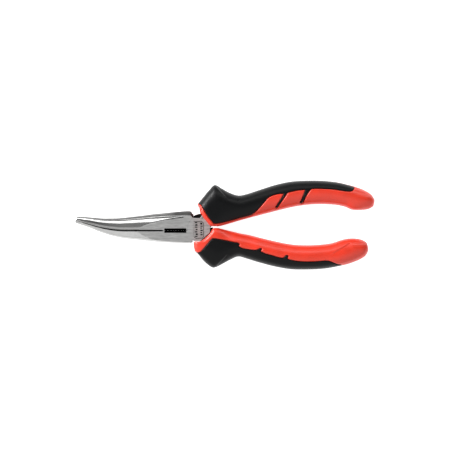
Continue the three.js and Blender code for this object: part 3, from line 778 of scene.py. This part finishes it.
def border(faces):
    """Edges that belong to one triangle only, in that triangle's own direction."""
    edges = np.concatenate([faces[:, [0, 1]], faces[:, [1, 2]], faces[:, [2, 0]]])
    _, inverse, counts = np.unique(np.sort(edges, axis=1), axis=0, return_inverse=True, return_counts=True)
    return edges[counts[inverse.reshape(-1)] == 1]


def compact(verts, faces):
    """The same mesh without the points that no triangle uses."""
    used, index = np.unique(faces, return_inverse=True)
    return verts[used], index.reshape(faces.shape)


def dip(distance, radius):
    """Depth of a rounded edge at a distance from it."""
    return radius - np.sqrt(radius**2 - (radius - np.minimum(distance, radius)) ** 2)


def grip_pieces(name, stations, rims, lines, side, folds, lip):
    """Core and overmould of a grip, cut from one solid along the overmould's limits."""
    verts, faces = grip_solid(stations, *rims, folds, lip)
    normals = vertex_normals(verts, faces)
    fields = [signed_distance(verts[:, :2], line) for line in lines]
    blend = smooth(verts[:, 2], -FACE_BLEND, FACE_BLEND)
    field = (fields[0] * blend + fields[1] * (1 - blend)) * side
    values = np.column_stack([verts, normals, field])
    last = values.shape[1] - 1
    for level in LEVELS:
        values, faces = split(values, faces, last, level)
    centre = values[faces, last].mean(axis=1)
    soft_edge, hard_edge = GROOVE
    soft_faces = faces[centre < soft_edge]
    hard_faces = faces[centre > hard_edge]
    covered_faces = faces[centre <= hard_edge]
    verts, normals, field = values[:, :3], values[:, 3:last], values[:, last:]
    normals = normals / np.linalg.norm(normals, axis=1)[:, None]
    from_edge = np.where(field < 0, soft_edge - field, field - hard_edge).clip(0)
    rise = np.where(field < 0, -SKIN_DROP, 0) - dip(from_edge, FILLET)
    outer = verts + normals * rise
    skin = stepped(outer, verts - normals * SKIN_DEPTH, soft_faces, soft_faces[:, ::-1])
    core = stepped(outer, verts - normals * CORE_DEPTH, hard_faces, covered_faces)
    return {"core": make(name + "_core", core), "overmould": make(name + "_overmould", skin)}


def stepped(outer, inner, raised, sunk):
    """Closed mesh of faces on the outer surface and faces on the inner one, with a wall along the step."""
    count = len(outer)
    rim = border(raised)
    wall = np.concatenate([
        np.stack([rim[:, 1], rim[:, 0], rim[:, 0] + count], -1),
        np.stack([rim[:, 1], rim[:, 0] + count, rim[:, 1] + count], -1),
    ])
    return outward(*compact(np.vstack([outer, inner]), np.concatenate([raised, sunk + count, wall])))


def hollow(piece, side, route):
    """Cuts the room for the joint, the jaw's shoulder and the tang out of a grip piece."""
    cut(piece, prism(round_outline(DISC_ROOM), -POCKET_HALF, POCKET_HALF))
    start, end = POCKET_ANGLES if side > 0 else (360 - POCKET_ANGLES[1], 360 - POCKET_ANGLES[0])
    cut(piece, sector(POCKET_RADIUS, start, end, -POCKET_HALF, POCKET_HALF))
    cut(piece, tang(route, side, SOCKET_GAP))


# ---- Details of the joint ----


def turned_profile(points):
    """Closed mesh turned about the rivet's axis from radius and height pairs."""
    rings = [np.column_stack([round_outline(r, steps=96), np.full(96, z)]) for r, z in points]
    return loft(np.array(rings))


def rivet_shape(extra, half):
    """The rivet, or its bore where extra is more than nothing."""
    head, shank = RIVET_HEAD + extra, RIVET_RADIUS + extra
    lower = [(head, -half), (head, -half + RIVET_LAND), (shank, -half + RIVET_SINK)]
    return turned_profile(lower + [(radius, -z) for radius, z in reversed(lower)])


def panel_cuts():
    """Stamped frame on the front of the joint, the etched ground inside it and its marks."""
    outline = np.array(PANEL)
    stamped = DISC_HALF - PANEL_DEPTH
    yield ring_prism(outline, PANEL_LINE, stamped, PANEL_ROOM)
    yield prism(inset_outline(outline, PANEL_LINE / 2), DISC_HALF - ETCH_DEPTH, PANEL_ROOM)
    for x, y, width, height in MARKS:
        yield prism(rounded_box(x, y, width / 2, height / 2, MARK_CORNER), stamped, PANEL_ROOM)


def ring_prism(outline, width, low, high):
    """Closed band of the given width inside an outline."""
    inner = inset_outline(outline, width)
    section = [(outline, low), (outline, high), (inner, high), (inner, low)]
    rings = np.array([np.column_stack([flat, np.full(len(flat), z)]) for flat, z in section])
    rings = rings.transpose(1, 0, 2)
    count, corners = rings.shape[:2]
    grid = np.arange(count * corners).reshape(count, corners)
    a, b = grid, np.roll(grid, -1, axis=1)
    c, d = np.roll(b, -1, axis=0), np.roll(grid, -1, axis=0)
    faces = np.concatenate([np.stack([a, b, c], -1).reshape(-1, 3), np.stack([a, c, d], -1).reshape(-1, 3)])
    return outward(rings.reshape(-1, 3), faces)


# ---- Build ----

front_lever = lever("visual_front_lever", 1, jaw(LOWER_JAW, -1, LOWER_BOXY), -1, UPPER_TANG)
rear_lever = lever("visual_rear_lever", -1, jaw(UPPER_JAW, 1, UPPER_BOXY), 1, LOWER_TANG)
join(rear_lever, sector(BACK_RADIUS, *BACK_ANGLES, -DISC_HALF, -LAP_GAP))
join(rear_lever, sector(HEEL_RADIUS, *HEEL_ANGLES, -DISC_HALF, -LAP_GAP))
rivet = make("visual_rivet", rivet_shape(0, DISC_HALF))
for piece in (front_lever, rear_lever):
    cut(piece, rivet_shape(RIVET_GAP, DISC_HALF + 0.01))
for tool in panel_cuts():
    cut(front_lever, tool)
    cut(rivet, tool)

striped, nubbed = face_line(STRIPED_FACE), face_line(NUBBED_FACE)
striped_below, nubbed_above = face_line(STRIPED_FACE, -FLIP_SHIFT), face_line(NUBBED_FACE, FLIP_SHIFT)
upper = grip_pieces(
    "visual_upper", UPPER_GRIP, (UPPER_FRONT_RIM, UPPER_BACK_RIM), (striped, nubbed_above), 1,
    UPPER_FOLDS, UPPER_LIP,
)
lower = grip_pieces(
    "visual_lower", LOWER_GRIP, (LOWER_FRONT_RIM, LOWER_BACK_RIM), (nubbed, striped_below), -1,
    LOWER_FOLDS, LOWER_LIP,
)
for piece in upper.values():
    hollow(piece, 1, UPPER_TANG)
for piece in lower.values():
    hollow(piece, -1, LOWER_TANG)

# ---- Materials ----


class Nodes:
    """Short way to write a material's node tree."""

    def __init__(self, name):
        self.material = bpy.data.materials.new(name)
        self.material.use_nodes = True
        self.tree = self.material.node_tree
        self.shader = self.tree.nodes["Principled BSDF"]

    def add(self, kind, settings=None, **inputs):
        node = self.tree.nodes.new("ShaderNode" + kind)
        for key, value in (settings or {}).items():
            setattr(node, key, value)
        for key, value in inputs.items():
            self.feed(node.inputs[key.replace("_", " ")], value)
        return node

    def feed(self, socket, value):
        if isinstance(value, bpy.types.NodeSocket):
            self.tree.links.new(value, socket)
        else:
            socket.default_value = value

    def place(self, stretch=(1, 1, 1)):
        spot = self.add("TexCoord").outputs["Object"]
        return self.add("Mapping", Vector=spot, Scale=stretch).outputs["Vector"]

    def noise(self, scale, stretch=(1, 1, 1), detail=2.0):
        return self.add("TexNoise", Vector=self.place(stretch), Scale=scale, Detail=detail).outputs["Fac"]

    def math(self, operation, *values):
        node = self.add("Math", {"operation": operation})
        for socket, value in zip(node.inputs, values):
            self.feed(socket, value)
        return node.outputs[0]

    def both(self, first, second):
        return self.math("MULTIPLY", first, second)

    def either(self, first, second):
        return self.math("MAXIMUM", first, second)

    def scaled(self, value, low, high, start=0.0, end=1.0):
        node = self.add("MapRange")
        for name, number in (("From Min", start), ("From Max", end), ("To Min", low), ("To Max", high)):
            node.inputs[name].default_value = number
        self.feed(node.inputs["Value"], value)
        return node.outputs["Result"]

    def rising(self, value, start, end):
        return self.scaled(value, 0.0, 1.0, start, end)

    def falling(self, value, start, end):
        return self.scaled(value, 1.0, 0.0, start, end)

    def blend(self, share, first, second, kind="RGBA"):
        return self.add("Mix", {"data_type": kind}, Factor=share, A=first, B=second).outputs["Result"]

    def mix(self, share, first, second):
        return self.blend(share, first, second, "FLOAT")

    def axes(self, vector):
        return self.add("SeparateXYZ", Vector=vector).outputs

    def bump(self, height, strength, distance, normal=None):
        node = self.add("Bump", Height=height, Strength=strength, Distance=distance)
        if normal is not None:
            self.feed(node.inputs["Normal"], normal)
        return node.outputs["Normal"]


def linear(tone, factor=1.0):
    """Colour socket value of a 0 to 255 screen colour, made lighter or darker by a factor."""
    channels = []
    for value in tone:
        value *= factor
        channels.append(((value / 255 + 0.055) / 1.055) ** 2.4 if value > 10 else value / 255 / 12.92)
    return (*channels, 1.0)


def steel_material(name, jaw_side, tones, side_shade_tone):
    """Forged steel: flats with a grain along the jaws, a polished nose, dark scale in the stamped marks, and
    painted shade in the recesses, on the shoulders, on the steep sides and on the top of the upper jaw.
    """
    m = Nodes(name)
    spot = m.axes(m.add("TexCoord").outputs["Object"])
    x, y, z = (m.math("MULTIPLY_ADD", spot[a], 1 / MM, float(shift)) for a, shift in zip("XYZ", -PIVOT / MM))
    normal = m.axes(m.add("TexCoord").outputs["Normal"])
    depth = m.math("ABSOLUTE", z)
    grain = m.rising(m.noise(1300, (0.16, 1, 1), 3), 0.3, 0.7)
    fine = m.noise(5200, (0.3, 1, 1), 2)
    mottle = m.noise(260, detail=3)

    # Tones
    flat = m.blend(grain, linear(tones["flat"], 0.92), linear(tones["flat"], 1.07))
    nose = m.blend(mottle, linear(tones["nose"], 0.95), linear(tones["nose"], 1.03))
    joint = m.blend(grain, linear(tones["joint"], 0.9), linear(tones["joint"], 1.08))
    # painted shade for the steep sides
    edge = m.blend(mottle, linear(side_shade_tone, 0.9), linear(side_shade_tone, 1.1))
    # painted shade for the top of the upper jaw
    forged = m.blend(mottle, linear(TOP_SHADE_TONES[0]), linear(TOP_SHADE_TONES[1]))
    # dark scale for the stamped marks, also used as painted shade in the recesses
    scale = m.blend(mottle, linear(SCALE_AND_SHADE_TONES[0]), linear(SCALE_AND_SHADE_TONES[1]))

    # Where each of them shows
    on_flat = m.rising(m.math("ABSOLUTE", normal["Z"]), *FLAT_NORMAL)
    # steep sides that face away from the parting line take the painted side shade
    on_shaded_side = m.scaled(m.both(normal["Y"], float(jaw_side)), 0.0, SIDE_SHADE_SHARE, *SIDE_SHADE_NORMAL)
    on_jaw = m.falling(x, *JAW_X)
    off_jaw = m.math("SUBTRACT", 1.0, on_jaw)
    # Painted shade between the jaws, in the cutter's relief, under the joint's face and on the jaw's shoulder;
    # the stamped marks under the face take real scale
    inner_face = m.rising(m.both(normal["Y"], float(-jaw_side)), *INNER_NORMAL)
    slot_half = (SLOT_END - SLOT_START) / 2
    along_slot = m.math("ABSOLUTE", m.math("ADD", x, (SLOT_START + SLOT_END) / 2))
    across_slot = m.math("ABSOLUTE", m.math("SUBTRACT", y, PARTING_Y))
    in_slot = m.both(
        m.falling(along_slot, slot_half, slot_half + 0.15),
        m.falling(across_slot, SLOT_DEPTH, SLOT_DEPTH + 0.12),
    )
    sunk = m.both(m.falling(depth, *SUNK_Z), off_jaw)
    recess = m.either(m.both(inner_face, on_jaw), m.either(m.both(in_slot, m.falling(depth, *SLOT_Z)), sunk))
    shoulder = m.both(m.rising(normal["X"], *SHOULDER_NORMAL), m.rising(x, *SHOULDER_X))
    dark = m.either(recess, m.both(shoulder, on_jaw))
    etched = m.both(m.scaled(depth, ETCH_SHARE, 0.0, *ETCH_Z), off_jaw)
    # the top of the upper jaw near the head takes painted shade and a matt finish
    on_top = m.rising(m.both(normal["Y"], float(max(jaw_side, 0))), *TOP_SHADE_NORMAL)
    shaded_top = m.both(on_top, m.rising(x, *TOP_SHADE_X))

    ground = m.blend(on_flat, m.blend(on_shaded_side, nose, edge), m.blend(m.rising(x, *JOINT_X), flat, joint))
    colour = m.blend(m.either(dark, etched), m.blend(shaded_top, ground, forged), scale)
    m.feed(m.shader.inputs["Base Color"], colour)
    m.shader.inputs["Metallic"].default_value = 1.0
    matt = m.either(m.either(on_flat, dark), shaded_top)
    m.feed(m.shader.inputs["Roughness"], m.mix(matt, m.scaled(grain, 0.08, 0.13), m.scaled(fine, 0.4, 0.56)))
    coarse = m.bump(grain, 0.16, 0.00004)
    m.feed(m.shader.inputs["Normal"], m.bump(fine, 0.1, 0.00002, coarse))
    return m.material


def plastic_material(name, tone, rough, specular, grain_scale, grain_depth):
    """Moulded plastic with a fine, even grain."""
    m = Nodes(name)
    cloud = m.noise(90, detail=3)
    speck = m.noise(grain_scale, detail=4)
    colour = m.blend(m.rising(cloud, 0.3, 0.7), linear(tone, 0.95), linear(tone, 1.04))
    m.feed(m.shader.inputs["Base Color"], colour)
    m.feed(m.shader.inputs["Roughness"], m.scaled(speck, rough - 0.07, rough + 0.07, 0.3, 0.7))
    m.feed(m.shader.inputs["Normal"], m.bump(speck, 0.25, grain_depth))
    m.shader.inputs["Specular IOR Level"].default_value = specular
    return m.material


upper_steel = steel_material("upper_jaw_steel", 1, STEEL, UPPER_SIDE_SHADE)
lower_steel = steel_material("lower_jaw_steel", -1, STEEL, LOWER_SIDE_SHADE)
rivet_steel = steel_material("rivet_steel", 0, RIVET_STEEL, RIVET_SIDE_SHADE)
orange = plastic_material("orange_plastic", ORANGE, 0.33, 0.7, 2600, 0.00003)
black = plastic_material("black_overmould", BLACK, 0.36, 0.2, 2400, 0.0001)

fittings = [
    (front_lever, "front_lever", "front_half", "lever_steel", lower_steel),
    (rear_lever, "rear_lever", "rear_half", "lever_steel", upper_steel),
    (rivet, "pivot_rivet", "front_half", "rivet_steel", rivet_steel),
    (upper["core"], "upper_grip_core", "front_half", "grip_core", orange),
    (upper["overmould"], "upper_grip_overmould", "front_half", "grip_overmould", black),
    (lower["core"], "lower_grip_core", "rear_half", "grip_core", orange),
    (lower["overmould"], "lower_grip_overmould", "rear_half", "grip_overmould", black),
]
for piece, node, body, slot, material in fittings:
    piece.data.materials.clear()
    piece.data.materials.append(material)
    for polygon in piece.data.polygons:
        polygon.material_index = 0
    piece.data.shade_smooth()
    piece.data.set_sharp_from_angle(angle=SMOOTH_ANGLE)
    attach(piece, body)
    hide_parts(node)

# ---- Stage, light and camera ----


def paper_floor():
    """Bright paper under the pliers."""
    line = np.linspace(-FLOOR_HALF, FLOOR_HALF, FLOOR_POINTS)
    faces = []
    for row in range(FLOOR_POINTS - 1):
        for column in range(FLOOR_POINTS - 1):
            corner = row * FLOOR_POINTS + column
            faces.append((corner, corner + 1, corner + FLOOR_POINTS + 1, corner + FLOOR_POINTS))
    data = bpy.data.meshes.new("floor")
    data.from_pydata([(x, y, FLOOR_Z) for y in line for x in line], [], faces)
    sheet = bpy.data.objects.new("floor", data)
    bpy.context.collection.objects.link(sheet)
    paper = Nodes("paper")
    paper.feed(paper.shader.inputs["Base Color"], paper.blend(paper.noise(60), *PAPER_TONES))
    paper.shader.inputs["Roughness"].default_value = 0.9
    paper.shader.inputs["Emission Color"].default_value = (1, 1, 1, 1)
    paper.shader.inputs["Emission Strength"].default_value = PAPER_GLOW
    sheet.data.materials.append(paper.material)
    return sheet


floor = paper_floor()
floor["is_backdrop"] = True


def studio_world():
    """Surroundings for the steel to reflect: bands along Y, which fade to an even grey on the left."""
    world = bpy.data.worlds.new("studio")
    world.use_nodes = True
    nodes, links = world.node_tree.nodes, world.node_tree.links
    direction = nodes.new("ShaderNodeSeparateXYZ")
    links.new(nodes.new("ShaderNodeTexCoord").outputs["Generated"], direction.inputs["Vector"])

    as_position = nodes.new("ShaderNodeMath")
    as_position.operation = "MULTIPLY_ADD"
    links.new(direction.outputs["Y"], as_position.inputs[0])
    as_position.inputs[1].default_value = 0.5
    as_position.inputs[2].default_value = 0.5
    bands = nodes.new("ShaderNodeValToRGB")
    links.new(as_position.outputs[0], bands.inputs["Fac"])
    stops = bands.color_ramp.elements
    for height, brightness in BANKS:
        if height == -1.0:
            stop = stops[0]
        elif height == 1.0:
            stop = stops[len(stops) - 1]
        else:
            stop = stops.new((height + 1) / 2)
        stop.color = (brightness, brightness, brightness, 1)

    leftness = nodes.new("ShaderNodeMapRange")
    for socket, number in zip(("From Min", "From Max", "To Min", "To Max"), (*LEFT_X, 0.0, LEFT_SHARE)):
        leftness.inputs[socket].default_value = number
    links.new(direction.outputs["X"], leftness.inputs["Value"])
    faded = nodes.new("ShaderNodeMix")
    faded.data_type = "RGBA"
    links.new(leftness.outputs["Result"], faded.inputs["Factor"])
    links.new(bands.outputs["Color"], faded.inputs["A"])
    faded.inputs["B"].default_value = LEFT_GREY
    links.new(faded.outputs["Result"], nodes["Background"].inputs["Color"])
    nodes["Background"].inputs["Strength"].default_value = WORLD_STRENGTH
    bpy.context.scene.world = world


studio_world()


def softbox(name, spot, size, power):
    """Rectangular light that points at the pliers."""
    data = bpy.data.lights.new(name, "AREA")
    data.shape = "RECTANGLE"
    data.size, data.size_y = size
    data.energy = power
    lamp = bpy.data.objects.new(name, data)
    lamp.location = spot
    lamp.rotation_euler = (Vector((0, 0, 0)) - Vector(spot)).to_track_quat("-Z", "Y").to_euler()
    bpy.context.collection.objects.link(lamp)


softbox("key", (-0.75, 0.5, 0.5), (0.5, 0.3), 12)
softbox("fill", (-0.9, -0.15, 0.5), (0.23, 0.18), 1.3)

camera_data = bpy.data.cameras.new("camera")
camera_data.lens = LENS
camera_data.sensor_width = SENSOR
camera = bpy.data.objects.new("camera", camera_data)
distance = IMAGE_WIDTH / 2 / math.tan(math.atan(SENSOR / 2 / LENS))
camera.location = (CAMERA_OVER[0], CAMERA_OVER[1], CAMERA_OVER[2] + distance)
bpy.context.collection.objects.link(camera)
bpy.context.scene.camera = camera
bpy.context.scene.view_settings.view_transform = "Standard"

plain = lambda box: [list(map(float, corner)) for corner in box]
{"cad": plain(cad_box), "visual": plain(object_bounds())}
